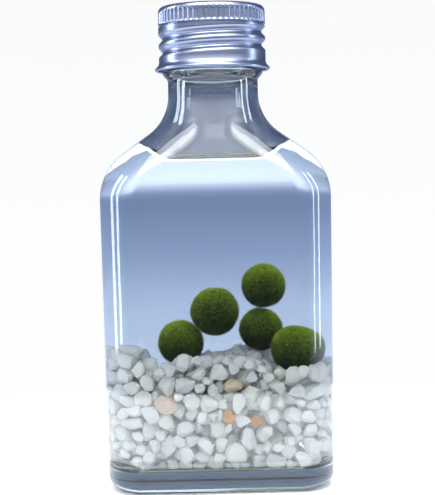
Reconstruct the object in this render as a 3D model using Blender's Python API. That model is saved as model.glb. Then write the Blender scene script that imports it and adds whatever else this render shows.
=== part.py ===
"""A flat glass flask with a screw cap, holding water, white gravel and five moss balls.

Metres, +Z up. The origin is the middle of the base, on the surface that the flask stands on.
The wide front of the flask faces -Y.
"""

import math
import random

import bmesh
import bpy
from mathutils import Vector, noise

MM = 0.001
GAP = 0.3 * MM  # clearance between neighbouring pieces

# Outside of the bottle. The shoulder is an arc out of the body, a straight slope and an arc into the neck.
BODY_HALF_WIDTH = 29.75 * MM
BASE_HALF_WIDTH = 29.0 * MM
BODY_HALF_DEPTH = 16.0 * MM
CORNER_WIDTH = 9.0 * MM
CORNER_DEPTH = 14.0 * MM
HEEL_RADIUS = 4.0 * MM
SHOULDER_START = 74.5 * MM
SHOULDER_SLOPE = math.radians(55)  # measured from the vertical
SHOULDER_RADIUS = 15.0 * MM
NECK_SWEEP_RADIUS = 12.4 * MM
NECK_RADIUS = 11.6 * MM
GLASS_WALL = 2.75 * MM
FLOOR_TOP = 5.2 * MM
INNER_HEEL_RADIUS = 4.5 * MM
RIM_WIDTH = 2.6 * MM
PUNT_HEIGHT = 0.8 * MM
PUNT_SLOPE_WIDTH = 1.4 * MM

# Finish of the neck, under the cap
BEAD_RADIUS = 12.9 * MM
BEAD_BOTTOM = 104.8 * MM
BEAD_TOP = 107.0 * MM
BEAD_SLOPES = (0.7 * MM, 0.3 * MM)  # height of its lower and upper slope
FINISH_RADIUS = 11.7 * MM
MOUTH_TOP = 121.8 * MM
LIP_ROUNDING = 0.6 * MM

# The right-hand thread, shared by the glass and the cap
THREAD_PITCH = 3.4 * MM
THREAD_AT_X = 113.8 * MM  # height of the cap's groove where it crosses +X
GLASS_THREAD_HEIGHT = 0.9 * MM
GLASS_THREAD_FOOT = 1.5 * MM
GLASS_THREAD_CREST = 0.6 * MM
GLASS_THREAD_SUNK = 0.6 * MM  # depth of its foot below the surface of the neck
GLASS_THREAD_TURNS = (0.30, 1.55)
CAP_THREAD_TURNS = (-0.70, 1.18)
THREAD_FADE = 0.12  # turns over which a thread runs in or out
CAP_GROOVE_DEPTH = 1.0 * MM
CAP_GROOVE_WIDTH = 3.0 * MM

# Cap and liner
CAP_RADIUS = 13.8 * MM
CAP_SHEET = 0.6 * MM
CAP_BOTTOM = 107.4 * MM
CAP_TOP = 123.9 * MM
CAP_CROWN_INSIDE = 12.9 * MM  # radius inside, above the thread
CAP_RING_DEPTH = 0.5 * MM  # of the fine groove under the knurl
CAP_FLARE_RADIUS = 14.85 * MM
CAP_EDGE = ((0.55 * MM, 0.4 * MM), (1.3 * MM, 0.0))  # the rounded top edge, in from the wall and down from the top
CAP_RIM_INSIDE = ((0.6 * MM, 1.9 * MM), (-0.3 * MM, 1.0 * MM), (-0.3 * MM, 0.3 * MM))
CAP_RIM_OUTSIDE = ((-0.7 * MM, 0.0), (-1.05 * MM, 0.5 * MM), (-0.8 * MM, 1.1 * MM), (0.0, 2.1 * MM))
THREAD_BAND = (110.7 * MM, 118.6 * MM)
THREAD_ROWS = 9
KNURL_BAND = (119.2 * MM, 122.5 * MM)
KNURL_COUNT = 60
KNURL_DEPTH = 0.35 * MM
CAP_COLUMNS = 30
LINER_RADIUS = 12.3 * MM
LINER_THICKNESS = 0.9 * MM

# Water
WATER_LEVEL = 83.2 * MM
MENISCUS_FRONT = 2.2 * MM
MENISCUS_SIDE = 3.4 * MM
MENISCUS_REACH = 2.7 * MM

# Moss balls: distance right of the middle, height of the centre, radius to the tips of the fibres
BALLS = {
    "left": (-9.7 * MM, 37.6 * MM, 6.4 * MM),
    "middle": (-0.8 * MM, 45.7 * MM, 6.75 * MM),
    "top": (11.7 * MM, 51.9 * MM, 6.2 * MM),
    "back": (10.9 * MM, 40.5 * MM, 6.1 * MM),
    "right": (19.0 * MM, 35.9 * MM, 6.5 * MM),
}
BALL_LUMP = 0.05  # share of its radius by which a ball is out of round
HOLLOW_MARGIN = 0.85 * MM  # keeps the flat faces of a ball's hollow one gap away from the ball

# Gravel: points of the heap's top, as right, back and height
HEAP = (
    (-27, -7, 37.0), (-27, 7, 36.0), (-22, -5, 38.0), (-22, 6, 36.8),
    (-16.4, -9, 30.6), (-16.4, 0, 29.4), (-16, 9, 28.2),
    (-9, -11.5, 34.6), (-9.7, 0, 31.8), (-9, 10, 30.0),
    (-2, -10, 34.4), (-1.5, 4, 34.8), (6.5, -8, 33.8), (6.5, 5, 36.0),
    (10.9, 3, 35.0), (14, -9, 31.2), (19, -6, 30.2), (19, 7, 31.4), (27, -6, 31.4), (27, 6, 31.8),
)
BED_COLUMNS = 36
BED_RINGS = 5
GRAIN = 4.0 * MM
SIDE_LUMP = 1.0 * MM
TOP_LUMP = 0.8 * MM

SECTION_COLUMNS = 28
STRAIGHT = (BODY_HALF_WIDTH - NECK_RADIUS
            - (SHOULDER_RADIUS + NECK_SWEEP_RADIUS) * (1 - math.cos(SHOULDER_SLOPE))) / math.sin(SHOULDER_SLOPE)
NECK_START = (SHOULDER_START + (SHOULDER_RADIUS + NECK_SWEEP_RADIUS) * math.sin(SHOULDER_SLOPE)
              + STRAIGHT * math.cos(SHOULDER_SLOPE))


def half_width_at(z, inset=0.0):
    """Half the bottle's width at a height, on a surface that lies inset inside the outer one."""
    arc_x = BODY_HALF_WIDTH - SHOULDER_RADIUS
    sweep_x = NECK_RADIUS + NECK_SWEEP_RADIUS
    arc, sweep = SHOULDER_RADIUS - inset, NECK_SWEEP_RADIUS + inset
    arc_end = SHOULDER_START + arc * math.sin(SHOULDER_SLOPE)
    sweep_start = NECK_START - sweep * math.sin(SHOULDER_SLOPE)
    if z <= SHOULDER_START:
        taper = (SHOULDER_START - max(z, 0)) / SHOULDER_START
        return BODY_HALF_WIDTH - inset - (BODY_HALF_WIDTH - BASE_HALF_WIDTH) * taper
    if z <= arc_end:
        return arc_x + math.sqrt(arc ** 2 - (z - SHOULDER_START) ** 2)
    if z <= sweep_start:
        return arc_x + arc * math.cos(SHOULDER_SLOPE) - (z - arc_end) * math.tan(SHOULDER_SLOPE)
    if z <= NECK_START:
        return sweep_x - math.sqrt(sweep ** 2 - (NECK_START - z) ** 2)
    return NECK_RADIUS - inset


def neck_share(z):
    """0 in the body, 1 in the round neck, eased over the shoulder."""
    share = min(max((z - SHOULDER_START) / (NECK_START - SHOULDER_START), 0), 1)
    return 0.5 - 0.5 * math.cos(math.pi * share)


def half_depth_at(z, inset=0.0):
    return BODY_HALF_DEPTH + (NECK_RADIUS - BODY_HALF_DEPTH) * neck_share(z) - inset


def wall_point(turn, z, inset=0.0, shrink=0.0):
    """A point on the bottle's rounded section, inset from the outer surface and then moved in level by shrink.

    turn is in quarter turns from +X.
    """
    half_width = half_width_at(z, inset) - shrink
    half_depth = half_depth_at(z, inset) - shrink
    share, depth_in = neck_share(z), inset + shrink
    corner_x = CORNER_WIDTH + (half_width + depth_in - CORNER_WIDTH) * share - depth_in
    corner_y = CORNER_DEPTH + (half_depth + depth_in - CORNER_DEPTH) * share - depth_in
    angle = turn * math.pi / 2
    side_x, side_y = math.copysign(1, math.cos(angle)), math.copysign(1, math.sin(angle))
    x = side_x * (half_width - corner_x) + corner_x * math.cos(angle)
    y = side_y * (half_depth - corner_y) + corner_y * math.sin(angle)
    return Vector((x, y, z))


def turns_of(columns):
    """The columns of a section, in quarter turns. They miss the four axes, so that a circle has even steps."""
    return [4 * (i + 0.5) / columns for i in range(columns)]


def section(z, inset=0.0, shrink=0.0, columns=SECTION_COLUMNS):
    return [wall_point(turn, z, inset, shrink) for turn in turns_of(columns)]


def circle(radius, z, columns=SECTION_COLUMNS):
    return [Vector((radius * math.cos(turn * math.pi / 2), radius * math.sin(turn * math.pi / 2), z))
            for turn in turns_of(columns)]


def loft(name, rings):
    """An object whose surface runs through the rings and is closed at both ends.

    A ring may have a whole number of times the points of the one beside it. Four-sided faces are split at
    their shorter diagonal, so that two surfaces which follow each other stay apart everywhere.
    """
    bm = bmesh.new()
    loops = [[bm.verts.new(point) for point in ring] for ring in rings]
    bm.faces.new(reversed(loops[0]))
    bm.faces.new(loops[-1])
    for low, high in zip(loops, loops[1:]):
        count = min(len(low), len(high))
        a, b = len(low) // count, len(high) // count
        for i in range(count):
            under = [low[(a * i + k) % len(low)] for k in range(a + 1)]
            over = [high[(b * i + k) % len(high)] for k in range(b + 1)]
            bm.faces.new(under + over[::-1])
    quads = [face for face in bm.faces if len(face.verts) == 4]
    bmesh.ops.triangulate(bm, faces=quads, quad_method="SHORT_EDGE")
    bmesh.ops.recalc_face_normals(bm, faces=bm.faces)
    return finish_mesh(name, bm)


def finish_mesh(name, bm):
    mesh = bpy.data.meshes.new(name)
    bm.to_mesh(mesh)
    bm.free()
    obj = bpy.data.objects.new(name, mesh)
    bpy.context.scene.collection.objects.link(obj)
    return obj


def shade(obj, sharp_angle=35):
    obj.data.shade_smooth()
    obj.data.set_sharp_from_angle(angle=math.radians(sharp_angle))


def material(obj, name, colour, roughness, metallic=0.0, transmission=0.0, ior=1.5):
    made = bpy.data.materials.new(name)
    made.use_nodes = True
    shader = made.node_tree.nodes["Principled BSDF"]
    shader.inputs["Base Color"].default_value = (*colour, 1)
    shader.inputs["Roughness"].default_value = roughness
    shader.inputs["Metallic"].default_value = metallic
    shader.inputs["Transmission Weight"].default_value = transmission
    shader.inputs["IOR"].default_value = ior
    obj.data.materials.append(made)


def as_cutter(obj):
    obj.hide_render = True
    obj.display_type = "WIRE"


def boolean(obj, tool, operation):
    modifier = obj.modifiers.new(tool.name, "BOOLEAN")
    modifier.operation = operation
    modifier.solver = "EXACT"
    modifier.object = tool


def thread_height(turns):
    """How high the cap's groove is after some turns about +Z from +X."""
    return THREAD_AT_X + THREAD_PITCH * turns


def fade(turns, span):
    """1 along a thread, falling to 0 at its two ends."""
    inside = min(turns - span[0], span[1] - turns) / THREAD_FADE
    return min(max(inside, 0), 1)


def glass_thread():
    """The ridge on the neck, half a pitch away from the cap's groove. Its ends sink into the glass."""
    steps_a_turn = 28
    start, end = GLASS_THREAD_TURNS
    steps = round((end - start) * steps_a_turn)
    foot = FINISH_RADIUS - GLASS_THREAD_SUNK
    half_foot, half_crest = GLASS_THREAD_FOOT / 2, GLASS_THREAD_CREST / 2
    lowest_crest = foot + GLASS_THREAD_SUNK / 2
    rings = []
    for i in range(steps + 1):
        turns = start + (end - start) * i / steps
        z = thread_height(turns) - THREAD_PITCH / 2
        crest = lowest_crest + (FINISH_RADIUS + GLASS_THREAD_HEIGHT - lowest_crest) * fade(turns, GLASS_THREAD_TURNS)
        outline = ((foot, -half_foot), (crest, -half_crest), (crest, half_crest), (foot, half_foot))
        angle = turns * 2 * math.pi
        rings.append([Vector((r * math.cos(angle), r * math.sin(angle), z + dz)) for r, dz in outline])
    ridge = loft("thread_ridge", rings)
    as_cutter(ridge)
    return ridge


def make_bottle():
    """The glass: up the outside from the punt under the base, over the lip, and down the inside to the floor."""
    steps = 3
    rings = [
        section(PUNT_HEIGHT, shrink=HEEL_RADIUS + RIM_WIDTH + PUNT_SLOPE_WIDTH),
        section(0, shrink=HEEL_RADIUS + RIM_WIDTH),
    ]
    for i in range(steps + 1):
        angle = math.pi / 2 * i / steps
        rings.append(section(HEEL_RADIUS * (1 - math.cos(angle)), shrink=HEEL_RADIUS * (1 - math.sin(angle))))
    for z in outer_heights(0):
        rings.append(section(z))
    for radius, z in (
        (NECK_RADIUS, BEAD_BOTTOM), (BEAD_RADIUS, BEAD_BOTTOM + BEAD_SLOPES[0]),
        (BEAD_RADIUS, BEAD_TOP - BEAD_SLOPES[1]), (FINISH_RADIUS, BEAD_TOP),
        (FINISH_RADIUS, MOUTH_TOP - LIP_ROUNDING),
        (FINISH_RADIUS - LIP_ROUNDING, MOUTH_TOP), (NECK_RADIUS - GLASS_WALL + LIP_ROUNDING, MOUTH_TOP),
        (NECK_RADIUS - GLASS_WALL, MOUTH_TOP - LIP_ROUNDING),
    ):
        rings.append(circle(radius, z))
    for z in reversed(outer_heights(GLASS_WALL)):
        rings.append(section(z, GLASS_WALL))
    for i in range(steps):
        angle = math.pi / 2 * i / steps
        z = FLOOR_TOP + INNER_HEEL_RADIUS * (1 - math.sin(angle))
        rings.append(section(z, GLASS_WALL, INNER_HEEL_RADIUS * (1 - math.cos(angle))))
    rings.append(section(FLOOR_TOP, GLASS_WALL, INNER_HEEL_RADIUS))
    bottle = loft("glass_bottle", rings)
    shade(bottle)
    material(bottle, "clear green-white glass", (0.86, 0.93, 0.90), 0.02, transmission=1, ior=1.52)
    boolean(bottle, glass_thread(), "UNION")


def outer_heights(inset):
    """Heights of the rings of the shoulder, for the surface that lies inset inside the outer one."""
    arc_steps, sweep_steps = 4, 3
    heights = [SHOULDER_START * 0.5, SHOULDER_START]
    for i in range(1, arc_steps + 1):
        angle = SHOULDER_SLOPE * i / arc_steps
        heights.append(SHOULDER_START + (SHOULDER_RADIUS - inset) * math.sin(angle))
    for i in range(sweep_steps, -1, -1):
        angle = SHOULDER_SLOPE * i / sweep_steps
        heights.append(NECK_START - (NECK_SWEEP_RADIUS + inset) * math.sin(angle))
    return heights


def cap_wall(angle, z):
    """Radius of the cap's thread band, with the groove rolled into it."""
    depth = 0
    for lap in range(-1, 3):
        turns = angle / (2 * math.pi) + lap
        away = (z - thread_height(turns)) / CAP_GROOVE_WIDTH
        if abs(away) < 0.5:
            depth = max(depth, fade(turns, CAP_THREAD_TURNS) * (0.5 + 0.5 * math.cos(2 * math.pi * away)))
    return CAP_RADIUS - CAP_GROOVE_DEPTH * depth


def cap_row(z, sheet=0.0):
    """One row of the thread band, on the outside or one sheet thickness further in."""
    row = []
    for turn in turns_of(CAP_COLUMNS):
        angle = turn * math.pi / 2
        radius = cap_wall(angle, z) - sheet
        row.append(Vector((radius * math.cos(angle), radius * math.sin(angle), z)))
    return row


def knurl_row(z, radius):
    """A ring of ribs: its points lie in turn on a rib and in a valley."""
    row = circle(radius, z, 2 * KNURL_COUNT)
    for point in row[1::2]:
        point.xy *= (radius - KNURL_DEPTH) / radius
    return row


def make_cap():
    """The cap: down the inside of the sheet, round the rolled rim, up the outside and over the top."""
    low, high = THREAD_BAND
    band = [low + (high - low) * i / THREAD_ROWS for i in range(THREAD_ROWS + 1)]
    ceiling = CAP_TOP - CAP_SHEET
    rings = [circle(CAP_CROWN_INSIDE - CAP_SHEET / 2, ceiling, CAP_COLUMNS),
             circle(CAP_CROWN_INSIDE, ceiling - CAP_SHEET / 2, CAP_COLUMNS),
             circle(CAP_CROWN_INSIDE, KNURL_BAND[0], CAP_COLUMNS)]
    rings += [cap_row(z, CAP_SHEET) for z in reversed(band)]
    for inwards, z in CAP_RIM_INSIDE + CAP_RIM_OUTSIDE:
        rings.append(circle(CAP_RADIUS - inwards, CAP_BOTTOM + z, CAP_COLUMNS))
    rings += [cap_row(z) for z in band]
    rings += [
        circle(CAP_RADIUS - CAP_RING_DEPTH, KNURL_BAND[0], CAP_COLUMNS),
        knurl_row(KNURL_BAND[0], CAP_RADIUS),
        knurl_row(KNURL_BAND[1], CAP_RADIUS),
    ]
    rings += [circle(CAP_RADIUS - inwards, CAP_TOP - down, CAP_COLUMNS) for inwards, down in CAP_EDGE]
    cap = loft("screw_cap", rings)
    shade(cap, 50)
    material(cap, "satin lacquered aluminium", (0.80, 0.82, 0.88), 0.38, metallic=0.9)


def make_liner():
    bottom = MOUTH_TOP + GAP
    liner = loft("cap_liner", [circle(LINER_RADIUS, bottom), circle(LINER_RADIUS, bottom + LINER_THICKNESS)])
    shade(liner)
    material(liner, "white foamed plastic", (0.88, 0.88, 0.86), 0.7)


def ball_depths():
    """How far back each ball's centre lies: two lean on the front glass, and the others touch those."""
    def behind(first, second):
        (x1, z1, r1), (x2, z2, r2) = BALLS[first], BALLS[second]
        return math.sqrt((r1 + r2 + GAP) ** 2 - (x1 - x2) ** 2 - (z1 - z2) ** 2)

    front = -(BODY_HALF_DEPTH - GLASS_WALL - GAP)
    depths = {name: front + BALLS[name][2] for name in ("middle", "right")}
    depths["left"] = depths["middle"] + behind("left", "middle")
    depths["back"] = depths["right"] + behind("back", "right")
    depths["top"] = depths["back"] - behind("back", "top")
    return depths


def lumpy_sphere(name, centre, radius, subdivisions, lump, seed):
    bm = bmesh.new()
    bmesh.ops.create_icosphere(bm, subdivisions=subdivisions, radius=1)
    for vert in bm.verts:
        wave = noise.noise(vert.co * 1.6 + Vector((seed, 0, 0)))
        vert.co *= radius * (1 - lump * (0.5 + 0.5 * wave))
    obj = finish_mesh(name, bm)
    obj.location = centre
    return obj


def make_balls():
    """The five balls, and for each a slightly larger hollow that keeps the water and gravel clear of it."""
    hollows = []
    depths = ball_depths()
    for seed, (name, (x, z, radius)) in enumerate(BALLS.items()):
        centre = (x, depths[name], z)
        ball = lumpy_sphere(f"moss_ball_{name}", centre, radius, 3, BALL_LUMP, seed)
        shade(ball, 60)
        material(ball, f"green moss {name}", (0.09, 0.17, 0.02), 0.9)
        hollow = lumpy_sphere(f"hollow_{name}", centre, radius + HOLLOW_MARGIN, 2, 0, seed)
        as_cutter(hollow)
        hollows.append(hollow)
    return hollows


def bed_height(x, y):
    """Height of the gravel's top, blended from the heap's points by their distance."""
    total = weights = 0
    for px, py, height in HEAP:
        weight = 1 / (((x / MM - px) ** 2 + (y / MM - py) ** 2) ** 1.5 + 2)
        total += weight * height * MM
        weights += weight
    return total / weights


def bed_rings(lift, dice):
    """The top of the gravel as rings from the wall inwards, lifted a little for the water above it.

    The last ring is level, because one face closes it.
    """
    rings = []
    wall = section(SHOULDER_START * 0.5, GLASS_WALL + GAP, columns=BED_COLUMNS)
    for ring in range(BED_RINGS):
        scale = 1 - ring / (BED_RINGS - 0.5)
        points = []
        for corner in wall:
            x, y = corner.x * scale, corner.y * scale
            if ring == BED_RINGS - 1:
                height = bed_height(0, 0)
            else:
                height = bed_height(x, y) + dice.uniform(-TOP_LUMP, TOP_LUMP)
            points.append(Vector((x, y, height + lift)))
        rings.append(points)
    return rings


def make_gravel(hollows):
    """The bed fills the inside of the bottle up to the heap. Its faces are as large as its grains."""
    dice = random.Random(11)
    top = bed_rings(0, random.Random(7))
    inset = GLASS_WALL + GAP
    bottom = FLOOR_TOP + GAP
    rings = [section(bottom, inset, INNER_HEEL_RADIUS, BED_COLUMNS)]
    rings.append(section(bottom + INNER_HEEL_RADIUS * 0.3, inset, INNER_HEEL_RADIUS * 0.3, BED_COLUMNS))
    rows = 6
    for row in range(1, rows):
        points = []
        for turn, above in zip(turns_of(BED_COLUMNS), top[0]):
            low = bottom + INNER_HEEL_RADIUS
            height = low + (above.z - low) * (row - 0.5) / rows + dice.uniform(-0.2, 0.2) * GRAIN
            points.append(wall_point(turn, height, inset, dice.uniform(0, SIDE_LUMP)))
        rings.append(points)
    gravel = loft("gravel", rings + top)
    material(gravel, "white crushed stone", (0.86, 0.87, 0.90), 0.6)
    for hollow in hollows:
        boolean(gravel, hollow, "DIFFERENCE")


def make_water(hollows):
    """The water stands on the gravel, fills the bottle to the shoulder and climbs the glass at its edge."""
    inset = GLASS_WALL + GAP
    rings = bed_rings(GAP, random.Random(7))[::-1]
    for z in (SHOULDER_START * 0.65, SHOULDER_START, SHOULDER_START + 4 * MM, WATER_LEVEL - 1 * MM):
        rings.append(section(z, inset, columns=BED_COLUMNS))
    for share in (0, 0.3, 1):
        ring = []
        for turn in turns_of(BED_COLUMNS):
            side = abs(math.cos(turn * math.pi / 2))
            rise = MENISCUS_FRONT + (MENISCUS_SIDE - MENISCUS_FRONT) * side
            edge = wall_point(turn, WATER_LEVEL + rise, inset, share * MENISCUS_REACH)
            edge.z = WATER_LEVEL + rise * (1 - share) ** 2
            ring.append(edge)
        rings.append(ring)
    water = loft("water", rings)
    shade(water)
    material(water, "water", (0.93, 0.96, 1.0), 0.0, transmission=1, ior=1.333)
    for hollow in hollows:
        boolean(water, hollow, "DIFFERENCE")


for old in list(bpy.data.objects):
    bpy.data.objects.remove(old, do_unlink=True)
make_bottle()
make_cap()
make_liner()
ball_hollows = make_balls()
make_gravel(ball_hollows)
make_water(ball_hollows)
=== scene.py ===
import math

import bmesh
import bpy
import numpy as np
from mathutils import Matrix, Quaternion, Vector, noise


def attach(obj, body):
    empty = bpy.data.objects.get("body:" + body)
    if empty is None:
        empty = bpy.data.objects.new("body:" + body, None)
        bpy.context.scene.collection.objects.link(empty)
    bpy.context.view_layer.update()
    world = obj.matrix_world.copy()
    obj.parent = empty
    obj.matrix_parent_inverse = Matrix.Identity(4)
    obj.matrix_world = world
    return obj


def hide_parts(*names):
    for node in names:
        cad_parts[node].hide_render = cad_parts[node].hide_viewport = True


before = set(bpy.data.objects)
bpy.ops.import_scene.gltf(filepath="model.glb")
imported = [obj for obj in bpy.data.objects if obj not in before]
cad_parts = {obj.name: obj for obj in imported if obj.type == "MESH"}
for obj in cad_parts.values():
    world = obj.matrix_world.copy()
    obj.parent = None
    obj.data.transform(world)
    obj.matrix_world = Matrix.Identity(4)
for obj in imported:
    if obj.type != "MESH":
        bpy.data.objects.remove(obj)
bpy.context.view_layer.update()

# Camera: level with the upper part of the water and 0.41 m in front of the flask, with a portrait lens.
# It looks slightly down and is rolled a little, so the flask leans to the left.
MM = 0.001
CAMERA_PLACE = Vector((0.25, -410, 72.4)) * MM
CAMERA_AIM = Vector((0.25, 0, 61.7)) * MM
CAMERA_ROLL = math.radians(1.3)
camera_data = bpy.data.cameras.new("camera")
camera_data.lens = 115
camera_data.sensor_width = 36
camera = bpy.data.objects.new("camera", camera_data)
bpy.context.scene.collection.objects.link(camera)
camera.location = CAMERA_PLACE
camera.rotation_mode = "QUATERNION"
straight_look = (CAMERA_AIM - CAMERA_PLACE).to_track_quat("-Z", "Y")
camera.rotation_quaternion = straight_look @ Quaternion((0, 0, 1), -CAMERA_ROLL)
bpy.context.scene.camera = camera
bpy.context.scene.view_settings.view_transform = "Standard"


# Floor and light: a small round table top of matt white board, and a room. What looks straight at the room
# sees white. The glass and water see its wall behind the flask, lavender-grey and darker above than below.
# In front the room is dark at the flask's height, so it leaves no veil on the glass, and bright above.
def linear(hex_colour):
    """The linear colour of an sRGB hex value."""
    shares = [int(hex_colour[i:i + 2], 16) / 255 for i in (1, 3, 5)]
    return [s / 12.92 if s <= 0.04045 else ((s + 0.055) / 1.055) ** 2.4 for s in shares] + [1.0]


def add_node(tree, kind, inputs=None, **settings):
    """Adds a node. Its settings are properties, and each input is a value or the socket that feeds it."""
    node = tree.nodes.new(kind)
    for name, value in settings.items():
        setattr(node, name, value)
    for name, value in (inputs or {}).items():
        if isinstance(value, bpy.types.NodeSocket):
            tree.links.new(value, node.inputs[name])
        else:
            node.inputs[name].default_value = value
    return node


def new_material(name):
    """A material, its node tree and its Principled shader."""
    made = bpy.data.materials.new(name)
    made.use_nodes = True
    return made, made.node_tree, made.node_tree.nodes["Principled BSDF"]


def set_inputs(shader, **values):
    """Sets the shader's plain sockets: base_color stands for Base Color, and so on."""
    for name, value in values.items():
        title = " ".join(word.upper() if word == "ior" else word.capitalize() for word in name.split("_"))
        shader.inputs[title].default_value = value


FLOOR_RADIUS = 230 * MM
BACK_STRENGTH, FRONT_STRENGTH = 1.2, 3.0
BACK_WALL = (  # height of a direction from -1 (down) to 1 (up), and the colour of the wall behind the flask
    (-1.0, "#8794b6"), (-0.3, "#8f9dc0"), (-0.16, "#b3c0df"), (-0.09, "#c6d2ed"), (-0.06, "#bac8e7"),
    (-0.035, "#99a8cd"), (0.0, "#7f8db2"), (0.05, "#54607f"), (0.3, "#46526f"), (1.0, "#7a859f"),
)
FRONT_WALL = (
    (-1.0, "#8a8f9b"), (-0.3, "#5b606c"), (-0.14, "#1f2229"),
    (0.12, "#1f2229"), (0.3, "#e6e9ef"), (0.6, "#f2f4f8"),
)
SEEN_WHITE = ((-0.1, "#ffffff"), (0.1, "#fafbfc"))
floor_mesh = bpy.data.meshes.new("table_top")
floor_corners = [(FLOOR_RADIUS * math.cos(a), FLOOR_RADIUS * math.sin(a), 0)
                 for a in np.linspace(0, 2 * math.pi, 96, endpoint=False)]
floor_mesh.from_pydata(floor_corners, [], [range(len(floor_corners))])
table_top = bpy.data.objects.new("table_top", floor_mesh)
bpy.context.scene.collection.objects.link(table_top)
white_board, _, board_shader = new_material("matt white board")
set_inputs(board_shader, base_color=linear("#f2f3f5"), roughness=0.8)
floor_mesh.materials.append(white_board)

room = bpy.data.worlds.new("pale room")
room.use_nodes = True
room.node_tree.nodes.clear()
bpy.context.scene.world = room
room_tree = room.node_tree
direction = add_node(room_tree, "ShaderNodeTexCoord").outputs["Generated"]
axes = add_node(room_tree, "ShaderNodeSeparateXYZ", {"Vector": direction})
upness = add_node(room_tree, "ShaderNodeMapRange",
                  {"Value": axes.outputs["Z"], "From Min": -1, "From Max": 1})


def wall_colour(stops):
    """The room's colour by the height of the direction that looks at it."""
    wall = add_node(room_tree, "ShaderNodeValToRGB", {"Fac": upness.outputs["Result"]})
    bands = wall.color_ramp.elements
    for _ in range(len(stops) - len(bands)):
        bands.new(0.5)
    for band, (height, colour) in zip(bands, stops):
        band.position = (height + 1) / 2
        band.color = linear(colour)
    return wall.outputs["Color"]


def share_of_way(first, last):
    """0 to 1 as the direction turns from first to last, as shares of straight back."""
    turned = {"Value": axes.outputs["Y"], "From Min": first, "From Max": last}
    eased = add_node(room_tree, "ShaderNodeMapRange", turned, interpolation_type="SMOOTHSTEP")
    return eased.outputs["Result"]


front = add_node(room_tree, "ShaderNodeBackground", {"Color": wall_colour(FRONT_WALL),
                                                     "Strength": FRONT_STRENGTH})
back = add_node(room_tree, "ShaderNodeBackground", {"Color": wall_colour(BACK_WALL),
                                                    "Strength": BACK_STRENGTH})
seen_wall = add_node(room_tree, "ShaderNodeMixShader", {0: share_of_way(-0.55, 0.0), 1: front.outputs[0],
                                                        2: back.outputs[0]})
white_wall = add_node(room_tree, "ShaderNodeBackground", {"Color": wall_colour(SEEN_WHITE), "Strength": 1})
straight = add_node(room_tree, "ShaderNodeLightPath").outputs["Is Camera Ray"]
room_light = add_node(room_tree, "ShaderNodeMixShader", {0: straight, 1: seen_wall.outputs[0],
                                                         2: white_wall.outputs[0]})
add_node(room_tree, "ShaderNodeOutputWorld", {"Surface": room_light.outputs[0]})

SOFT_LIGHTS = (  # name, place in mm, width and height in mm, watts, colour
    ("ceiling", (0, -330, 780), (900, 600), 11.0, "#ffffff"),
    ("left_strip", (-420, 60, 190), (90, 420), 1.2, "#eef4ff"),
    ("right_strip", (420, 40, 190), (40, 420), 0.6, "#eef4ff"),
)
for name, place, (width, height), watts, colour in SOFT_LIGHTS:
    lamp_data = bpy.data.lights.new(name, "AREA")
    lamp_data.shape = "RECTANGLE"
    lamp_data.size = width * MM
    lamp_data.size_y = height * MM
    lamp_data.energy = watts
    lamp_data.color = linear(colour)[:3]
    lamp = bpy.data.objects.new(name, lamp_data)
    lamp.location = Vector(place) * MM
    lamp.rotation_euler = (Vector((0, 0, 60 * MM)) - lamp.location).to_track_quat("-Z", "Y").to_euler()
    bpy.context.scene.collection.objects.link(lamp)


# Bottle: one piece of clear, faintly green soda-lime glass, blown in a mould. Its thick wall and heavy base
# bend what lies behind them, and its inside is a little uneven. Under the cap are a bead and a thread.
BODY_HALF_WIDTH = 29.75 * MM
BASE_HALF_WIDTH = 29.0 * MM
BODY_HALF_DEPTH = 16.0 * MM
CORNER_WIDTH = 9.0 * MM
CORNER_DEPTH = 14.0 * MM
HEEL_RADIUS = 4.0 * MM
SHOULDER_START = 74.5 * MM
SHOULDER_SLOPE = math.radians(55)  # measured from the vertical
SHOULDER_RADIUS = 15.0 * MM
NECK_SWEEP_RADIUS = 12.4 * MM
NECK_RADIUS = 11.6 * MM
GLASS_WALL = 2.75 * MM
FLOOR_TOP = 5.2 * MM
INNER_HEEL_RADIUS = 4.5 * MM
RIM_WIDTH = 2.6 * MM
PUNT_HEIGHT = 0.8 * MM
PUNT_SLOPE_WIDTH = 1.4 * MM
BEAD_RADIUS = 12.9 * MM
BEAD_BOTTOM = 104.8 * MM
BEAD_TOP = 107.0 * MM
BEAD_ROUNDING = 0.3 * MM
FINISH_RADIUS = 11.7 * MM
MOUTH_TOP = 121.8 * MM
LIP_ROUNDING = 0.6 * MM
THREAD_PITCH = 3.4 * MM
THREAD_AT_X = 113.8 * MM  # height of the cap's groove where it crosses +X
GLASS_THREAD_HEIGHT = 0.9 * MM
GLASS_THREAD_WIDTH = 1.5 * MM
GLASS_THREAD_TURNS = (0.30, 1.55)
THREAD_FADE = 0.12  # turns over which a thread runs in or out
GLASS_COLUMNS = 144
BODY_ROWS, BEND_ROWS, SLOPE_ROWS = 40, 18, 8  # of the upright wall, each bend of the shoulder and its slope
OUTER_WAVE = 0.02 * MM
INNER_WAVE = 0.07 * MM
WAVE_SIZE = 11 * MM
BENDS = SHOULDER_RADIUS + NECK_SWEEP_RADIUS
STRAIGHT = (BODY_HALF_WIDTH - NECK_RADIUS - BENDS * (1 - math.cos(SHOULDER_SLOPE))) / math.sin(SHOULDER_SLOPE)
NECK_START = SHOULDER_START + BENDS * math.sin(SHOULDER_SLOPE) + STRAIGHT * math.cos(SHOULDER_SLOPE)


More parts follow.
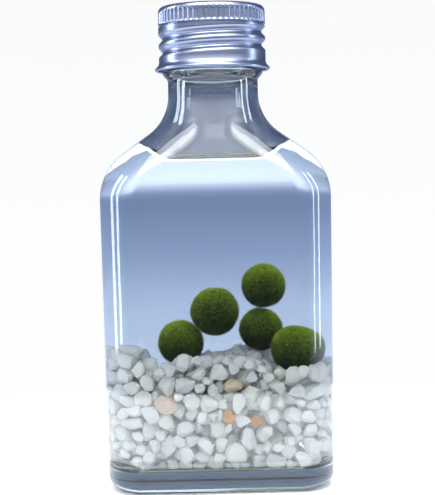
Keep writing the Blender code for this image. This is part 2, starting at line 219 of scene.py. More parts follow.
def half_width_at(z, inset=0.0):
    """Half the bottle's width at a height, on a surface that lies inset inside the outer one."""
    arc_x = BODY_HALF_WIDTH - SHOULDER_RADIUS
    sweep_x = NECK_RADIUS + NECK_SWEEP_RADIUS
    arc, sweep = SHOULDER_RADIUS - inset, NECK_SWEEP_RADIUS + inset
    arc_end = SHOULDER_START + arc * math.sin(SHOULDER_SLOPE)
    sweep_start = NECK_START - sweep * math.sin(SHOULDER_SLOPE)
    if z <= SHOULDER_START:
        taper = (SHOULDER_START - max(z, 0)) / SHOULDER_START
        return BODY_HALF_WIDTH - inset - (BODY_HALF_WIDTH - BASE_HALF_WIDTH) * taper
    if z <= arc_end:
        return arc_x + math.sqrt(arc ** 2 - (z - SHOULDER_START) ** 2)
    if z <= sweep_start:
        return arc_x + arc * math.cos(SHOULDER_SLOPE) - (z - arc_end) * math.tan(SHOULDER_SLOPE)
    if z <= NECK_START:
        return sweep_x - math.sqrt(sweep ** 2 - (NECK_START - z) ** 2)
    return NECK_RADIUS - inset


def neck_share(z):
    """0 in the body, 1 in the round neck, eased over the shoulder."""
    share = min(max((z - SHOULDER_START) / (NECK_START - SHOULDER_START), 0), 1)
    return 0.5 - 0.5 * math.cos(math.pi * share)


def half_depth_at(z, inset=0.0):
    return BODY_HALF_DEPTH + (NECK_RADIUS - BODY_HALF_DEPTH) * neck_share(z) - inset


def wall_point(turn, z, inset=0.0, shrink=0.0):
    """A point on the bottle's rounded section, inset from the outside and then moved in level by shrink.

    turn is in quarter turns from +X.
    """
    half_width = half_width_at(z, inset) - shrink
    half_depth = half_depth_at(z, inset) - shrink
    share, inwards = neck_share(z), inset + shrink
    corner_x = CORNER_WIDTH + (half_width + inwards - CORNER_WIDTH) * share - inwards
    corner_y = CORNER_DEPTH + (half_depth + inwards - CORNER_DEPTH) * share - inwards
    angle = turn * math.pi / 2
    side_x, side_y = math.copysign(1, math.cos(angle)), math.copysign(1, math.sin(angle))
    x = side_x * (half_width - corner_x) + corner_x * math.cos(angle)
    y = side_y * (half_depth - corner_y) + corner_y * math.sin(angle)
    return (x, y, z)


def turns_of(columns):
    """The columns of a section, in quarter turns. They miss the axes, so that a circle has even steps."""
    return [4 * (i + 0.5) / columns for i in range(columns)]


def section(z, inset=0.0, shrink=0.0):
    return [wall_point(turn, z, inset, shrink) for turn in turns_of(GLASS_COLUMNS)]


def base_section(z, inwards, extra=0.0):
    """A ring of the base: inwards is 0 at the wall and 1 at the end of the rounded edge."""
    return section(z, shrink=HEEL_RADIUS * inwards + extra)


def circle(radius, z, columns=GLASS_COLUMNS):
    return [(radius * math.cos(turn * math.pi / 2), radius * math.sin(turn * math.pi / 2), z)
            for turn in turns_of(columns)]


def skin(rings):
    """Points and faces of the closed skin that runs through the rings."""
    rows, columns = len(rings), len(rings[0])
    points = [point for ring in rings for point in ring]
    faces = [tuple(reversed(range(columns))), tuple(range((rows - 1) * columns, rows * columns))]
    for row in range(rows - 1):
        low, high = row * columns, (row + 1) * columns
        for i in range(columns):
            after = (i + 1) % columns
            faces.append((low + i, low + after, high + after, high + i))
    return points, faces


def new_piece(name, points, faces, made_of, smooth_below=None):
    """A mesh object in one material. Edges sharper than smooth_below degrees stay sharp."""
    mesh = bpy.data.meshes.new(name)
    mesh.from_pydata(points, [], faces)
    mesh.materials.append(made_of)
    mesh.shade_smooth()
    if smooth_below:
        mesh.set_sharp_from_angle(angle=math.radians(smooth_below))
    piece = bpy.data.objects.new(name, mesh)
    bpy.context.scene.collection.objects.link(piece)
    return piece


def quarter_arc(steps):
    """Pairs (1 - cos, 1 - sin) of the angles of a quarter turn."""
    angles = [math.pi / 2 * i / steps for i in range(steps + 1)]
    return [(1 - math.cos(a), 1 - math.sin(a)) for a in angles]


def wall_heights(inset, start):
    """Heights of the rings from start to the neck, for the surface that lies inset inside the outer one."""
    arc_top = SHOULDER_START + (SHOULDER_RADIUS - inset) * math.sin(SHOULDER_SLOPE)
    sweep_foot = NECK_START - (NECK_SWEEP_RADIUS + inset) * math.sin(SHOULDER_SLOPE)
    heights = list(np.linspace(start, SHOULDER_START, BODY_ROWS))
    heights += [SHOULDER_START + (SHOULDER_RADIUS - inset) * math.sin(SHOULDER_SLOPE * i / BEND_ROWS)
                for i in range(1, BEND_ROWS)]
    heights += list(np.linspace(arc_top, sweep_foot, SLOPE_ROWS))
    heights += [NECK_START - (NECK_SWEEP_RADIUS + inset) * math.sin(SHOULDER_SLOPE * i / BEND_ROWS)
                for i in reversed(range(BEND_ROWS))]
    return heights


def fade(turns, span):
    """1 along a thread, falling to 0 at its two ends."""
    inside = min(turns - span[0], span[1] - turns) / THREAD_FADE
    return min(max(inside, 0), 1)


def thread_profile(angle, z, span, width, offset):
    """0 to 1: how far the thread's rounded section stands out at this angle and height."""
    best = 0
    for lap in range(-1, 3):
        turns = angle / (2 * math.pi) + lap
        away = (z - THREAD_AT_X - THREAD_PITCH * turns - offset) / width
        if abs(away) < 0.5:
            best = max(best, fade(turns, span) * (0.5 + 0.5 * math.cos(2 * math.pi * away)))
    return best


def glass_thread_ring(z):
    ring = []
    for turn in turns_of(GLASS_COLUMNS):
        angle = turn * math.pi / 2
        bump = thread_profile(angle, z, GLASS_THREAD_TURNS, GLASS_THREAD_WIDTH * 1.3, -THREAD_PITCH / 2)
        radius = FINISH_RADIUS + GLASS_THREAD_HEIGHT * min(1.4 * bump, 1)
        ring.append((radius * math.cos(angle), radius * math.sin(angle), z))
    return ring


def waved(ring, depth, seed):
    """The ring with its points moved in or out by up to depth, as the uneven face of blown glass."""
    moved = []
    for x, y, z in ring:
        wave = depth * noise.noise(Vector((x, y, z + seed)) / WAVE_SIZE)
        away = math.hypot(x, y)
        moved.append((x + x / away * wave, y + y / away * wave, z))
    return moved


glass_rings = []
for i in range(6):
    punt = PUNT_HEIGHT * (1 - (i / 5) ** 2)
    glass_rings.append(base_section(punt, 1, RIM_WIDTH + PUNT_SLOPE_WIDTH * 1.3 * (1 - i / 5)))
glass_rings.append(base_section(0, 1, RIM_WIDTH * 0.5))
for up, inwards in quarter_arc(12):
    glass_rings.append(base_section(HEEL_RADIUS * up, inwards))
glass_rings += [waved(section(z), OUTER_WAVE, 0) for z in wall_heights(0, HEEL_RADIUS)[1:]]
bead_cone = BEAD_TOP - BEAD_BOTTOM - 2 * BEAD_ROUNDING
for share in np.linspace(0, 1, 7)[:-1]:
    bead_reach = NECK_RADIUS + (BEAD_RADIUS - NECK_RADIUS) * share ** 1.3
    glass_rings.append(circle(bead_reach, BEAD_BOTTOM + bead_cone * share))
for angle in np.linspace(-math.pi / 2, math.pi / 2, 7)[1:]:
    glass_rings.append(circle(BEAD_RADIUS - BEAD_ROUNDING * (1 - math.cos(angle)),
                              BEAD_TOP - BEAD_ROUNDING * (1 - math.sin(angle))))
glass_rings.append(circle(FINISH_RADIUS, BEAD_TOP))
glass_rings += [glass_thread_ring(z) for z in np.linspace(BEAD_TOP + 0.2 * MM, MOUTH_TOP - LIP_ROUNDING, 56)]
for up, inwards in quarter_arc(4)[1:]:
    glass_rings.append(circle(FINISH_RADIUS - LIP_ROUNDING * up, MOUTH_TOP - LIP_ROUNDING * inwards))
for up, inwards in quarter_arc(4)[::-1]:
    lip_radius = NECK_RADIUS - GLASS_WALL + LIP_ROUNDING * up
    glass_rings.append(circle(lip_radius, MOUTH_TOP - LIP_ROUNDING * inwards))
for z in reversed(wall_heights(GLASS_WALL, FLOOR_TOP + INNER_HEEL_RADIUS)[1:]):
    glass_rings.append(waved(section(z, GLASS_WALL), INNER_WAVE, 1))
for up, inwards in quarter_arc(8):
    z = FLOOR_TOP + INNER_HEEL_RADIUS * inwards
    glass_rings.append(section(z, GLASS_WALL, INNER_HEEL_RADIUS * up))

# Soda-lime glass, blown and fire-polished: clear and glossy, with a green cast where the light goes far in it
clear_glass, glass_tree, glass_shader = new_material("fire-polished soda-lime glass")
set_inputs(glass_shader, base_color=linear("#fdfffe"), roughness=0.0, ior=1.52, transmission_weight=1.0)
green_cast = add_node(glass_tree, "ShaderNodeVolumeAbsorption", {"Color": linear("#b9e8d2"), "Density": 16})
glass_tree.links.new(green_cast.outputs[0], glass_tree.nodes["Material Output"].inputs["Volume"])
bottle = new_piece("flask_glass", *skin(glass_rings), clear_glass, smooth_below=50)
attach(bottle, "bottle")
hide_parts("glass_bottle")


# Water: fills the flask to the shoulder, between the stones too, and climbs the glass at its edge. Its skin
# lies a little way inside the glass, so that no air shows between the two.
WATER_LEVEL = 83.2 * MM
MENISCUS_FRONT = 2.5 * MM
MENISCUS_SIDE = 4.0 * MM
MENISCUS_FALL = 1.9 * MM
IN_GLASS = 0.05 * MM
RING_STEPS = (0, 0.12, 0.28, 0.48, 0.75, 1.1, 1.5, 2.0, 2.6, 3.4, 4.4, 5.6, 7.2, 9.2)  # mm in from the glass
water_inset = GLASS_WALL - IN_GLASS


def water_rise(turn):
    side = abs(math.cos(turn * math.pi / 2))
    return MENISCUS_FRONT + (MENISCUS_SIDE - MENISCUS_FRONT) * side ** 2


water_rings = []
for up, inwards in quarter_arc(6)[::-1]:
    z = FLOOR_TOP - IN_GLASS + INNER_HEEL_RADIUS * inwards
    water_rings.append(section(z, water_inset, INNER_HEEL_RADIUS * up))
wall_top = [z for z in wall_heights(water_inset, FLOOR_TOP + INNER_HEEL_RADIUS) if z < WATER_LEVEL][1:]
water_rings += [waved(section(z, water_inset), INNER_WAVE, 1) for z in wall_top]
for share in (0.25, 0.5, 0.75, 1):
    water_rings.append([wall_point(turn, WATER_LEVEL + share * water_rise(turn), water_inset)
                        for turn in turns_of(GLASS_COLUMNS)])
for step in RING_STEPS[1:]:
    ring = []
    for turn in turns_of(GLASS_COLUMNS):
        rise = water_rise(turn)
        x, y, _ = wall_point(turn, WATER_LEVEL + rise, water_inset, step * MM)
        ring.append((x, y, WATER_LEVEL + rise * math.exp(-step * MM / MENISCUS_FALL)))
    water_rings.append(ring)

# Water: clear, with a faint blue-violet cast that grows with the way through it
clear_water, water_tree, water_shader = new_material("clear water")
set_inputs(water_shader, base_color=linear("#ffffff"), roughness=0.0, ior=1.333, transmission_weight=1.0)
blue_cast = add_node(water_tree, "ShaderNodeVolumeAbsorption", {"Color": linear("#a8c4ee"), "Density": 8})
water_tree.links.new(blue_cast.outputs[0], water_tree.nodes["Material Output"].inputs["Volume"])
water = new_piece("still_water", *skin(water_rings), clear_water, smooth_below=60)
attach(water, "bottle")
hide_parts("water")


# Condensation: small beads of water that cling to the inside of the neck and shoulder above the water.
BEAD_COUNT = 1500
BEAD_SIZE = (0.05, 0.16)  # mm, from the middle to the edge
BEAD_SPAN = (87.0 * MM, 106.0 * MM)
BEAD_SUNK = 0.1  # share of its size by which a bead's middle lies inside the glass
BEAD_STRETCH = (0.9, 1.25)  # its height to its width: large beads sag


def unit_ball(subdivisions):
    """Corners and triangles of a ball of radius 1, as arrays."""
    bm = bmesh.new()
    bmesh.ops.create_icosphere(bm, subdivisions=subdivisions, radius=1)
    corners = np.array([vert.co for vert in bm.verts])
    triangles = np.array([[vert.index for vert in face.verts] for face in bm.faces])
    bm.free()
    return corners, triangles


def joined(parts):
    """Many small meshes, each as points and faces, as one."""
    points, faces, count = [], [], 0
    for part_points, part_faces in parts:
        points.append(part_points)
        faces.append(part_faces + count)
        count += len(part_points)
    return np.concatenate(points), np.concatenate(faces)


dice = np.random.default_rng(21)
ball_corners, ball_triangles = unit_ball(2)
bead_corners, bead_triangles = unit_ball(1)
beads = []
for _ in range(BEAD_COUNT):
    size = (BEAD_SIZE[0] + (BEAD_SIZE[1] - BEAD_SIZE[0]) * dice.random() ** 3) * MM
    height = BEAD_SPAN[0] + (BEAD_SPAN[1] - BEAD_SPAN[0]) * dice.random() ** 1.7
    centre = np.array(wall_point(dice.random() * 4, height, GLASS_WALL + BEAD_SUNK * size))
    beads.append((centre + bead_corners * size * (1, 1, dice.uniform(*BEAD_STRETCH)), bead_triangles))
bead_points, bead_faces = joined(beads)
condensation = new_piece("condensation", bead_points.tolist(), bead_faces.tolist(), clear_water)
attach(condensation, "bottle")


# Gravel: white crushed stone, broken on flat faces, 3 to 6 mm across, with a few amber and tan stones. It
# was poured in and lies heaped against the glass.
HEAP = (  # points of the heap's top: right, back and height, in mm
    (-27, -7, 37.0), (-27, 7, 36.0), (-22, -5, 38.0), (-22, 6, 36.8),
    (-16.4, -9, 30.6), (-16.4, 0, 29.4), (-16, 9, 28.2),
    (-9, -11.5, 34.6), (-9.7, 0, 31.8), (-9, 10, 30.0),
    (-2, -10, 34.4), (-1.5, 4, 34.8), (6.5, -8, 33.8), (6.5, 5, 36.0),
    (10.9, 3, 35.0), (14, -9, 31.2), (19, -6, 30.2), (19, 7, 31.4), (27, -6, 31.4), (27, 6, 31.8),
)
BALLS = {  # right of the middle, height of the centre and radius to the tips of the fibres
    "left": (-9.7 * MM, 37.6 * MM, 6.4 * MM),
    "middle": (-0.8 * MM, 45.7 * MM, 6.75 * MM),
    "top": (11.7 * MM, 51.9 * MM, 6.2 * MM),
    "back": (10.9 * MM, 40.5 * MM, 6.1 * MM),
    "right": (19.0 * MM, 35.9 * MM, 6.5 * MM),
}
GAP = 0.3 * MM
STONE_COUNT = 860
STONE_SIZE = (1.45, 2.9)  # mm, from the middle to the edge
STONE_COLOURS = ("#fbfbfc", "#f6f7fa", "#fdfdfd", "#f1f3f8", "#faf7f2")
ODD_STONES = (  # right of the middle and height in mm, and colour, of stones at the front glass
    (2.6, 21.2, "#e2a552"), (8.2, 18.6, "#d89f6e"), (-14.5, 24.0, "#ecd2c0"), (5.6, 27.5, "#ead9c2"),
)
STONE_SWELL = 1.12  # reach of the ball that a stone is cut from, to the stone's size
STONE_CUTS = 9
CUT_REACH = (0.52, 0.86)  # where the cuts lie, as shares of the stone's size
STONE_STRETCH = (0.78, 1.15)
POUR_BOX = ((-27, -13.2, 5.5), (27, 13.2, 38))  # mm, where the stones start
SETTLE_ROUNDS = 70
SETTLE_STEP = 0.35
STONE_NEAR = 0.88  # distance of two stones that touch, to the sum of their sizes
BALL_NEAR, TOP_NEAR, GLASS_NEAR = 0.45, 0.55, 0.62  # the same for the balls, the heap's top and the glass
STONE_GLASS_GAP = 0.08 * MM
STONE_IN_FIBRES = 0.5 * MM  # how far a stone may reach into a ball's fibres


def ball_depths():
    """How far back each ball's centre lies: two lean on the front glass, and the others touch those."""
    def behind(first, second):
        (x1, z1, r1), (x2, z2, r2) = BALLS[first], BALLS[second]
        return math.sqrt((r1 + r2 + GAP) ** 2 - (x1 - x2) ** 2 - (z1 - z2) ** 2)

    front = -(BODY_HALF_DEPTH - GLASS_WALL - GAP)
    depths = {name: front + BALLS[name][2] for name in ("middle", "right")}
    depths["left"] = depths["middle"] + behind("left", "middle")
    depths["back"] = depths["right"] + behind("back", "right")
    depths["top"] = depths["back"] - behind("back", "top")
    return depths


def bed_height(points):
    """Height of the gravel's top over each point, blended from the heap's points by their distance."""
    total, weights = np.zeros(len(points)), np.zeros(len(points))
    for x, y, height in HEAP:
        weight = 1 / (np.hypot(points[:, 0] / MM - x, points[:, 1] / MM - y) ** 3 + 2)
        total += weight * height * MM
        weights += weight
    return total / weights


def keep_in_glass(points, margin):
    """Moves points that lie outside the inner wall and floor back in, to margin inside them."""
    floor = FLOOR_TOP + margin
    points[:, 2] = np.maximum(points[:, 2], floor)
    heel = np.clip((floor + INNER_HEEL_RADIUS - points[:, 2]) / INNER_HEEL_RADIUS, 0, 1)
    inset = GLASS_WALL + margin + INNER_HEEL_RADIUS * (1 - np.sqrt(1 - heel ** 2))
    taper = 1 - np.clip(points[:, 2] / SHOULDER_START, 0, 1)
    half_width = BODY_HALF_WIDTH - inset - (BODY_HALF_WIDTH - BASE_HALF_WIDTH) * taper
    corner_x, corner_y = CORNER_WIDTH - inset, CORNER_DEPTH - inset
    flat_x, flat_y = half_width - corner_x, BODY_HALF_DEPTH - inset - corner_y
    away_x = np.maximum(np.abs(points[:, 0]) - flat_x, 0) / corner_x
    away_y = np.maximum(np.abs(points[:, 1]) - flat_y, 0) / corner_y
    reach = np.maximum(np.hypot(away_x, away_y), 1)
    within_x = np.minimum(np.abs(points[:, 0]), flat_x) + away_x / reach * corner_x
    within_y = np.minimum(np.abs(points[:, 1]), flat_y) + away_y / reach * corner_y
    points[:, 0] = np.sign(points[:, 0]) * within_x
    points[:, 1] = np.sign(points[:, 1]) * within_y


def push_from_balls(points, clearance):
    """Moves points that lie in a moss ball out to its surface plus clearance."""
    for centre, radius in ball_places:
        offset = points - centre
        away = np.linalg.norm(offset, axis=1)
        short = np.maximum(radius + clearance - away, 0)
        points += offset / away[:, None] * short[:, None]


depths = ball_depths()
ball_places = [(np.array((x, depths[name], z)), radius) for name, (x, z, radius) in BALLS.items()]
dice = np.random.default_rng(5)
sizes = (STONE_SIZE[0] + (STONE_SIZE[1] - STONE_SIZE[0]) * dice.random(STONE_COUNT) ** 1.6) * MM
stones = dice.uniform(*POUR_BOX, (STONE_COUNT, 3)) * MM
for _ in range(SETTLE_ROUNDS):
    offset = stones[:, None] - stones[None]
    away = np.linalg.norm(offset, axis=2) + np.eye(STONE_COUNT)
    short = np.maximum(STONE_NEAR * (sizes[:, None] + sizes[None]) - away, 0) * (1 - np.eye(STONE_COUNT))
    stones += SETTLE_STEP * (offset / away[..., None] * short[..., None]).sum(axis=1)
    push_from_balls(stones, BALL_NEAR * sizes)
    stones[:, 2] = np.minimum(stones[:, 2], bed_height(stones) - TOP_NEAR * sizes)
    keep_in_glass(stones, GLASS_NEAR * sizes)

stone_parts, stone_colours = [], []
for place, size in zip(stones, sizes):
    points = ball_corners * size * STONE_SWELL
    for _ in range(STONE_CUTS):
        normal = dice.normal(size=3)
        normal /= np.linalg.norm(normal)
        beyond = np.maximum(points @ normal - size * dice.uniform(*CUT_REACH), 0)
        points = points - beyond[:, None] * normal
    turn = np.array(Quaternion(dice.normal(size=4)).normalized().to_matrix())
    stone = (points * dice.uniform(*STONE_STRETCH, 3)) @ turn.T + place
    keep_in_glass(stone, STONE_GLASS_GAP)
    push_from_balls(stone, -STONE_IN_FIBRES)
    stone_parts.append((stone, ball_triangles))
    stone_colours.append(linear(STONE_COLOURS[dice.integers(len(STONE_COLOURS))]))
for x, z, colour in ODD_STONES:
    nearest = np.argmin(np.linalg.norm(stones - np.array((x, -13, z)) * MM, axis=1))
    stone_colours[nearest] = linear(colour)

# Crushed white quartz: matt broken faces with a fine grain, bright all through, in the colours of the stones
white_stone, stone_tree, stone_shader = new_material("crushed white quartz")
set_inputs(stone_shader, roughness=0.55, specular_ior_level=0.3, subsurface_weight=0.8,
           subsurface_radius=(1.0, 1.0, 1.0), subsurface_scale=1.6 * MM)
stone_colour = add_node(stone_tree, "ShaderNodeAttribute", attribute_name="stone_colour").outputs["Color"]
stone_place = add_node(stone_tree, "ShaderNodeTexCoord").outputs["Object"]
grain = add_node(stone_tree, "ShaderNodeTexNoise", {"Vector": stone_place, "Scale": 1 / (1.1 * MM),
                                                    "Detail": 4})
crumbs = add_node(stone_tree, "ShaderNodeBump", {"Height": grain.outputs["Fac"], "Strength": 0.35,
                                                 "Distance": 0.4 * MM})
stone_tree.links.new(stone_colour, stone_shader.inputs["Base Color"])
stone_tree.links.new(crumbs.outputs["Normal"], stone_shader.inputs["Normal"])
stone_points, stone_faces = joined(stone_parts)
gravel = new_piece("stone_bed", stone_points.tolist(), stone_faces.tolist(), white_stone, smooth_below=28)
attribute = gravel.data.attributes.new("stone_colour", "FLOAT_COLOR", "POINT")
attribute.data.foreach_set("color", np.repeat(stone_colours, len(ball_corners), axis=0).ravel())
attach(gravel, "bottle")
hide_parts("gravel")


# Moss balls: each is one ball of matted green algae threads. A mat painted nearly black, as the shade deep
# among the threads, carries short plush fibres with paler tips and a few longer threads, and tiny specks of
# sand and air cling to it. Shade is also painted into the fibres' colour: darker at the root, in sunken tufts
# and on the ball's underside.
BALL_LUMP = 0.05  # share of its radius by which a ball is out of round
FIBRE_COUNT = 21000
FIBRE_LENGTH = (0.75 * MM, 1.5 * MM)
FIBRE_WIDTH = 0.055 * MM  # half of it, at the root; real threads are half as wide, too fine to show here
FIBRE_LEAN = 0.55
STRAY_COUNT = 60
STRAY_ROOT = 1.2 * MM  # depth of a stray thread's root
STRAY_SPREAD = 1.1 * MM
STRAY_REACH = 0.5 * MM  # how far a stray thread may stand out of the ball
SPECK_COUNT = 14
SPECK_SIZE = (0.06, 0.14)  # mm
MAT_DEPTH = 1.0 * MM  # of the mat under the fibres' tips, painted dark as shade
MAT_RELIEF = 0.25 * MM
TIP_SPREAD = 0.35 * MM
TUFT_SIZE = 1.3 * MM
TUFT_DEPTH = 0.3 * MM
# Painted shade: the mat's near-black colour stands in for the shade deep among the threads, and the fibres'
# root colour is painted darker than their tips as shade.
MAT_SHADE_COLOUR, ROOT_SHADED_GREEN = linear("#131c07"), linear("#76a418")
TIP_COLOURS = (linear("#b4d828"), linear("#eeff6a"))
PAINTED_UNDERSIDE_SHADE = 0.16  # painted shade: brightness of the fibres' colour on the underside, to that of the top
mat_corners, mat_triangles = unit_ball(5)


def ball_reach(directions, radius, seed):
    """How far a ball of this radius reaches in each direction."""
    waves = np.array([noise.noise(Vector(d) * 1.6 + Vector((seed, 0, 0))) for d in directions])
    return radius * (1 - BALL_LUMP * (0.5 + 0.5 * waves))


def tufts(points, seed):
    """-1 to 1 in patches of a tuft's size."""
    return np.array([noise.noise(Vector(p) / TUFT_SIZE + Vector((0, seed * 7, 0))) for p in points])


def fibre_mesh(roots, tips, width):
    """A three-sided spike from each root to its tip."""
    along = tips - roots
    along /= np.linalg.norm(along, axis=1)[:, None]
    across = np.cross(along, np.where(np.abs(along[:, 2:]) < 0.9, (0, 0, 1), (1, 0, 0)))
    across /= np.linalg.norm(across, axis=1)[:, None]
    other = np.cross(along, across)
    corners = [roots + width * (math.cos(a) * across + math.sin(a) * other)
               for a in (0, 2 * math.pi / 3, 4 * math.pi / 3)]
    points = np.stack(corners + [tips], axis=1).reshape(-1, 3)
    first = 4 * np.arange(len(roots))[:, None]
    faces = np.concatenate([first + (0, 1, 3), first + (1, 2, 3), first + (2, 0, 3)])
    return points, faces


# Living moss threads: matt, velvety and yellow-green at the tip, with shade painted into their colour: darker
# toward the root, in sunken tufts and on the ball's underside
moss, moss_tree, moss_shader = new_material("matted green algae threads")
set_inputs(moss_shader, roughness=0.75, specular_ior_level=0.15)
moss_colour = add_node(moss_tree, "ShaderNodeAttribute", attribute_name="moss_colour").outputs["Color"]
moss_tree.links.new(moss_colour, moss_shader.inputs["Base Color"])

for seed, (name, (centre, radius)) in enumerate(zip(BALLS, ball_places)):
    dice = np.random.default_rng(40 + seed)
    mat_reach = ball_reach(mat_corners, radius, seed)
    mat_tufts = tufts(mat_corners * radius, seed)
    mat = mat_corners * (mat_reach - MAT_DEPTH + MAT_RELIEF * mat_tufts)[:, None]
    directions = dice.normal(size=(FIBRE_COUNT, 3))
    directions /= np.linalg.norm(directions, axis=1)[:, None]
    reach = ball_reach(directions, radius, seed)
    tuft = tufts(directions * radius, seed)
    length = FIBRE_LENGTH[0] + (FIBRE_LENGTH[1] - FIBRE_LENGTH[0]) * dice.random(FIBRE_COUNT)
    tip_reach = reach - TIP_SPREAD * dice.random(FIBRE_COUNT) ** 2 - TUFT_DEPTH * (0.5 - 0.5 * tuft)
    lean = dice.normal(size=(FIBRE_COUNT, 3)) * FIBRE_LEAN * length[:, None]
    tips = directions * tip_reach[:, None] + lean
    tips *= np.minimum(1, tip_reach / np.linalg.norm(tips, axis=1))[:, None]
    roots = directions * (tip_reach - length)[:, None]
    fibres, fibre_faces = fibre_mesh(roots, tips, FIBRE_WIDTH)

    stray_ways = directions[:STRAY_COUNT]
    stray_roots = stray_ways * (reach[:STRAY_COUNT] - STRAY_ROOT)[:, None]
    stray_tips = stray_ways * reach[:STRAY_COUNT, None] + dice.normal(size=(STRAY_COUNT, 3)) * STRAY_SPREAD
    longest = (reach[:STRAY_COUNT] + STRAY_REACH) / np.linalg.norm(stray_tips, axis=1)
    stray_tips *= np.minimum(1, longest)[:, None]
    strays, stray_faces = fibre_mesh(stray_roots, stray_tips, FIBRE_WIDTH * 0.7)

    speck_corners, speck_triangles = unit_ball(1)
    specks = []
    for way in directions[-SPECK_COUNT:]:
        speck = speck_corners * dice.uniform(*SPECK_SIZE) * MM
        specks.append((way * (radius - TUFT_DEPTH) + speck, speck_triangles))
    speck_points, speck_faces = joined(specks)

    points, faces = joined([(mat, mat_triangles), (fibres, fibre_faces), (strays, stray_faces),
                            (speck_points, speck_faces)])
    shade = dice.random(FIBRE_COUNT + STRAY_COUNT)[:, None]
    tip_colours = np.array(TIP_COLOURS[0]) * (1 - shade) + np.array(TIP_COLOURS[1]) * shade
    # Painted shade: tufts that sink deeper into the ball are painted darker, and those that stand out lighter.
    tip_colours[:FIBRE_COUNT] *= (0.85 + 0.4 * tuft)[:, None]
    upwards = np.concatenate([directions[:, 2], stray_ways[:, 2]])
    # Painted light and shade: every fibre is painted darker on the ball's underside and brighter on its top,
    # as light from above would fall.
    painted_top_light = PAINTED_UNDERSIDE_SHADE + (1 - PAINTED_UNDERSIDE_SHADE) * np.clip(0.45 + 0.75 * upwards, 0, 1) ** 1.3
    # Painted shade: the fibres' roots are painted darker than their tips, as the shade among the threads.
    root_shaded_greens = np.array(ROOT_SHADED_GREEN) * painted_top_light[:, None]
    fibre_colours = np.stack([root_shaded_greens] * 3 + [tip_colours * painted_top_light[:, None]], axis=1)
    # The specks are painted pale: the sand in its own colour, and the air bubbles with a painted glint.
    colours = np.concatenate([np.tile(MAT_SHADE_COLOUR, (len(mat), 1)), fibre_colours.reshape(-1, 4),
                              np.tile(linear("#e8ecd8"), (len(speck_points), 1))])
    ball = new_piece(f"moss_{name}", (points + centre).tolist(), faces.tolist(), moss)
    attribute = ball.data.attributes.new("moss_colour", "FLOAT_COLOR", "POINT")
    attribute.data.foreach_set("color", colours.ravel())
    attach(ball, "bottle")
    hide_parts(f"moss_ball_{name}")


# Screw cap: one piece of thin aluminium sheet, drawn, rolled and lacquered. The thread is rolled into its
# wall, the top edge is knurled for grip, and the lower edge flares out to a rolled rim.
CAP_RADIUS = 13.8 * MM
CAP_SHEET = 0.6 * MM
CAP_BOTTOM = 107.4 * MM
CAP_TOP = 123.9 * MM
CAP_CROWN_INSIDE = 12.9 * MM
CAP_FLARE_RADIUS = 14.85 * MM
CAP_THREAD_TURNS = (-0.70, 1.18)
CAP_RIM_ROLL = 0.42 * MM  # radius of the rolled edge's round section
CAP_TOP_ROUNDING = 1.3 * MM
CAP_GROOVE_DEPTH = 1.0 * MM
CAP_GROOVE_WIDTH = 3.0 * MM
THREAD_BAND = (110.7 * MM, 118.6 * MM)
RING_GROOVE_DEPTH = 0.45 * MM
KNURL_BAND = (119.2 * MM, 122.5 * MM)
KNURL_COUNT = 60
KNURL_DEPTH = 0.35 * MM
CAP_COLUMNS = 6 * KNURL_COUNT


def cap_ring(z, inwards=0.0):
    """One row of the threaded wall, on the outside or inwards of it."""
    ring = []
    for turn in turns_of(CAP_COLUMNS):
        angle = turn * math.pi / 2
        depth = CAP_GROOVE_DEPTH * thread_profile(angle, z, CAP_THREAD_TURNS, CAP_GROOVE_WIDTH, 0)
        radius = CAP_RADIUS - depth - inwards
        ring.append((radius * math.cos(angle), radius * math.sin(angle), z))
    return ring


def knurl_ring(z, radius, depth):
    """One row of the knurl: rounded ribs with narrow valleys between them."""
    ring = []
    for turn in turns_of(CAP_COLUMNS):
        angle = turn * math.pi / 2
        valley = (0.5 - 0.5 * math.cos(angle * KNURL_COUNT)) ** 1.5
        here = radius - depth * valley
        ring.append((here * math.cos(angle), here * math.sin(angle), z))
    return ring


ceiling = CAP_TOP - CAP_SHEET
band = np.linspace(*THREAD_BAND, 44)
cap_rings = [circle(CAP_CROWN_INSIDE - 0.5 * MM, ceiling, CAP_COLUMNS),
             circle(CAP_CROWN_INSIDE, ceiling - 0.5 * MM, CAP_COLUMNS),
             circle(CAP_CROWN_INSIDE, KNURL_BAND[0], CAP_COLUMNS)]
cap_rings += [cap_ring(z, CAP_SHEET) for z in band[::-1]]
rim = CAP_FLARE_RADIUS - CAP_RIM_ROLL
cap_rings.append(circle(CAP_RADIUS - CAP_SHEET, CAP_BOTTOM + 2.0 * MM, CAP_COLUMNS))
for i in range(15):
    angle = math.radians(150 + 260 * i / 14)
    cap_rings.append(circle(rim + CAP_RIM_ROLL * math.cos(angle),
                            CAP_BOTTOM + CAP_RIM_ROLL * (1 + math.sin(angle)), CAP_COLUMNS))
for share in (0.25, 0.5, 0.75, 1):
    flare = (CAP_FLARE_RADIUS - 0.15 * MM - CAP_RADIUS) * (1 - math.sin(share * math.pi / 2))
    cap_rings.append(circle(CAP_RADIUS + flare, CAP_BOTTOM + (0.75 + 1.4 * share) * MM, CAP_COLUMNS))
cap_rings += [cap_ring(z) for z in band]
for share in np.linspace(0.1, 1, 7):
    dip = RING_GROOVE_DEPTH * math.sin(share * math.pi)
    z = THREAD_BAND[1] + (KNURL_BAND[0] - THREAD_BAND[1]) * share
    cap_rings.append(circle(CAP_RADIUS - dip, z, CAP_COLUMNS))
for share in (0.0, 0.04, 0.1, 0.2, 0.4, 0.6, 0.8, 0.93, 1.0):
    depth = KNURL_DEPTH * min(1, 8 * share + 0.2, 10 * (1 - share) + 0.3)
    cap_rings.append(knurl_ring(KNURL_BAND[0] + (KNURL_BAND[1] - KNURL_BAND[0]) * share, CAP_RADIUS, depth))
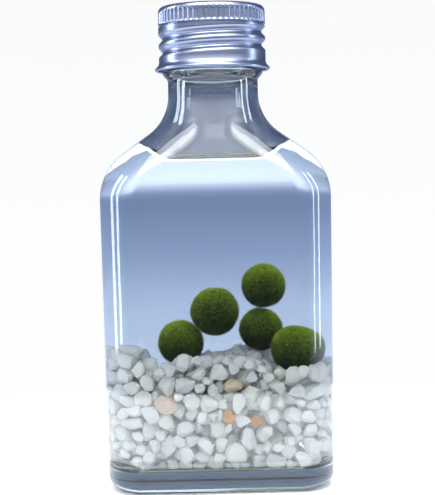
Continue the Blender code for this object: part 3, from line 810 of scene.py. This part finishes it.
for i in range(1, 8):
    angle = math.pi / 2 * i / 7
    cap_rings.append(circle(CAP_RADIUS - CAP_TOP_ROUNDING * (1 - math.cos(angle)),
                            KNURL_BAND[1] + (CAP_TOP - KNURL_BAND[1]) * math.sin(angle), CAP_COLUMNS))
for inwards, down in ((1.9, 0.0), (2.3, 0.25), (11.5, 0.25)):
    cap_rings.append(circle(CAP_RADIUS - inwards * MM, CAP_TOP - down * MM, CAP_COLUMNS))

# Rolled aluminium sheet under a clear satin lacquer: soft broad highlights with fine lines round the wall
lacquered, cap_tree, cap_shader = new_material("satin lacquered aluminium")
set_inputs(cap_shader, base_color=linear("#9099b2"), metallic=1.0, roughness=0.3)
cap_place = add_node(cap_tree, "ShaderNodeTexCoord").outputs["Object"]
stretch = add_node(cap_tree, "ShaderNodeMapping", {"Vector": cap_place, "Scale": (1, 1, 14)})
rolling = add_node(cap_tree, "ShaderNodeTexNoise", {"Vector": stretch.outputs["Vector"], "Scale": 1 / (4 * MM),
                                                    "Detail": 6})
cap_lines = add_node(cap_tree, "ShaderNodeBump", {"Height": rolling.outputs["Fac"], "Strength": 0.12,
                                                  "Distance": 0.1 * MM})
cap_tree.links.new(cap_lines.outputs["Normal"], cap_shader.inputs["Normal"])
cap = new_piece("aluminium_cap", *skin(cap_rings), lacquered, smooth_below=60)
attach(cap, "cap")
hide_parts("screw_cap")


# Liner: a soft disc of white foamed polyethylene, punched from sheet and pressed up into the cap, where it
# seals on the glass lip.
LINER_RADIUS = 12.3 * MM
LINER_THICKNESS = 0.9 * MM
liner_foot = MOUTH_TOP + GAP
liner_rings = [circle(LINER_RADIUS - 0.15 * MM, liner_foot), circle(LINER_RADIUS, liner_foot + 0.15 * MM),
               circle(LINER_RADIUS, liner_foot + LINER_THICKNESS - 0.15 * MM),
               circle(LINER_RADIUS - 0.15 * MM, liner_foot + LINER_THICKNESS)]

# Foamed polyethylene: matt and white, with a fine pebbled face
foam, foam_tree, foam_shader = new_material("white foamed polyethylene")
set_inputs(foam_shader, base_color=linear("#f0f0ee"), roughness=0.75)
foam_place = add_node(foam_tree, "ShaderNodeTexCoord").outputs["Object"]
cells = add_node(foam_tree, "ShaderNodeTexNoise", {"Vector": foam_place, "Scale": 1 / (0.8 * MM), "Detail": 2})
pebbles = add_node(foam_tree, "ShaderNodeBump", {"Height": cells.outputs["Fac"], "Strength": 0.2,
                                                 "Distance": 0.1 * MM})
foam_tree.links.new(pebbles.outputs["Normal"], foam_shader.inputs["Normal"])
liner = new_piece("foam_liner", *skin(liner_rings), foam, smooth_below=40)
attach(liner, "liner")
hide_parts("cap_liner")
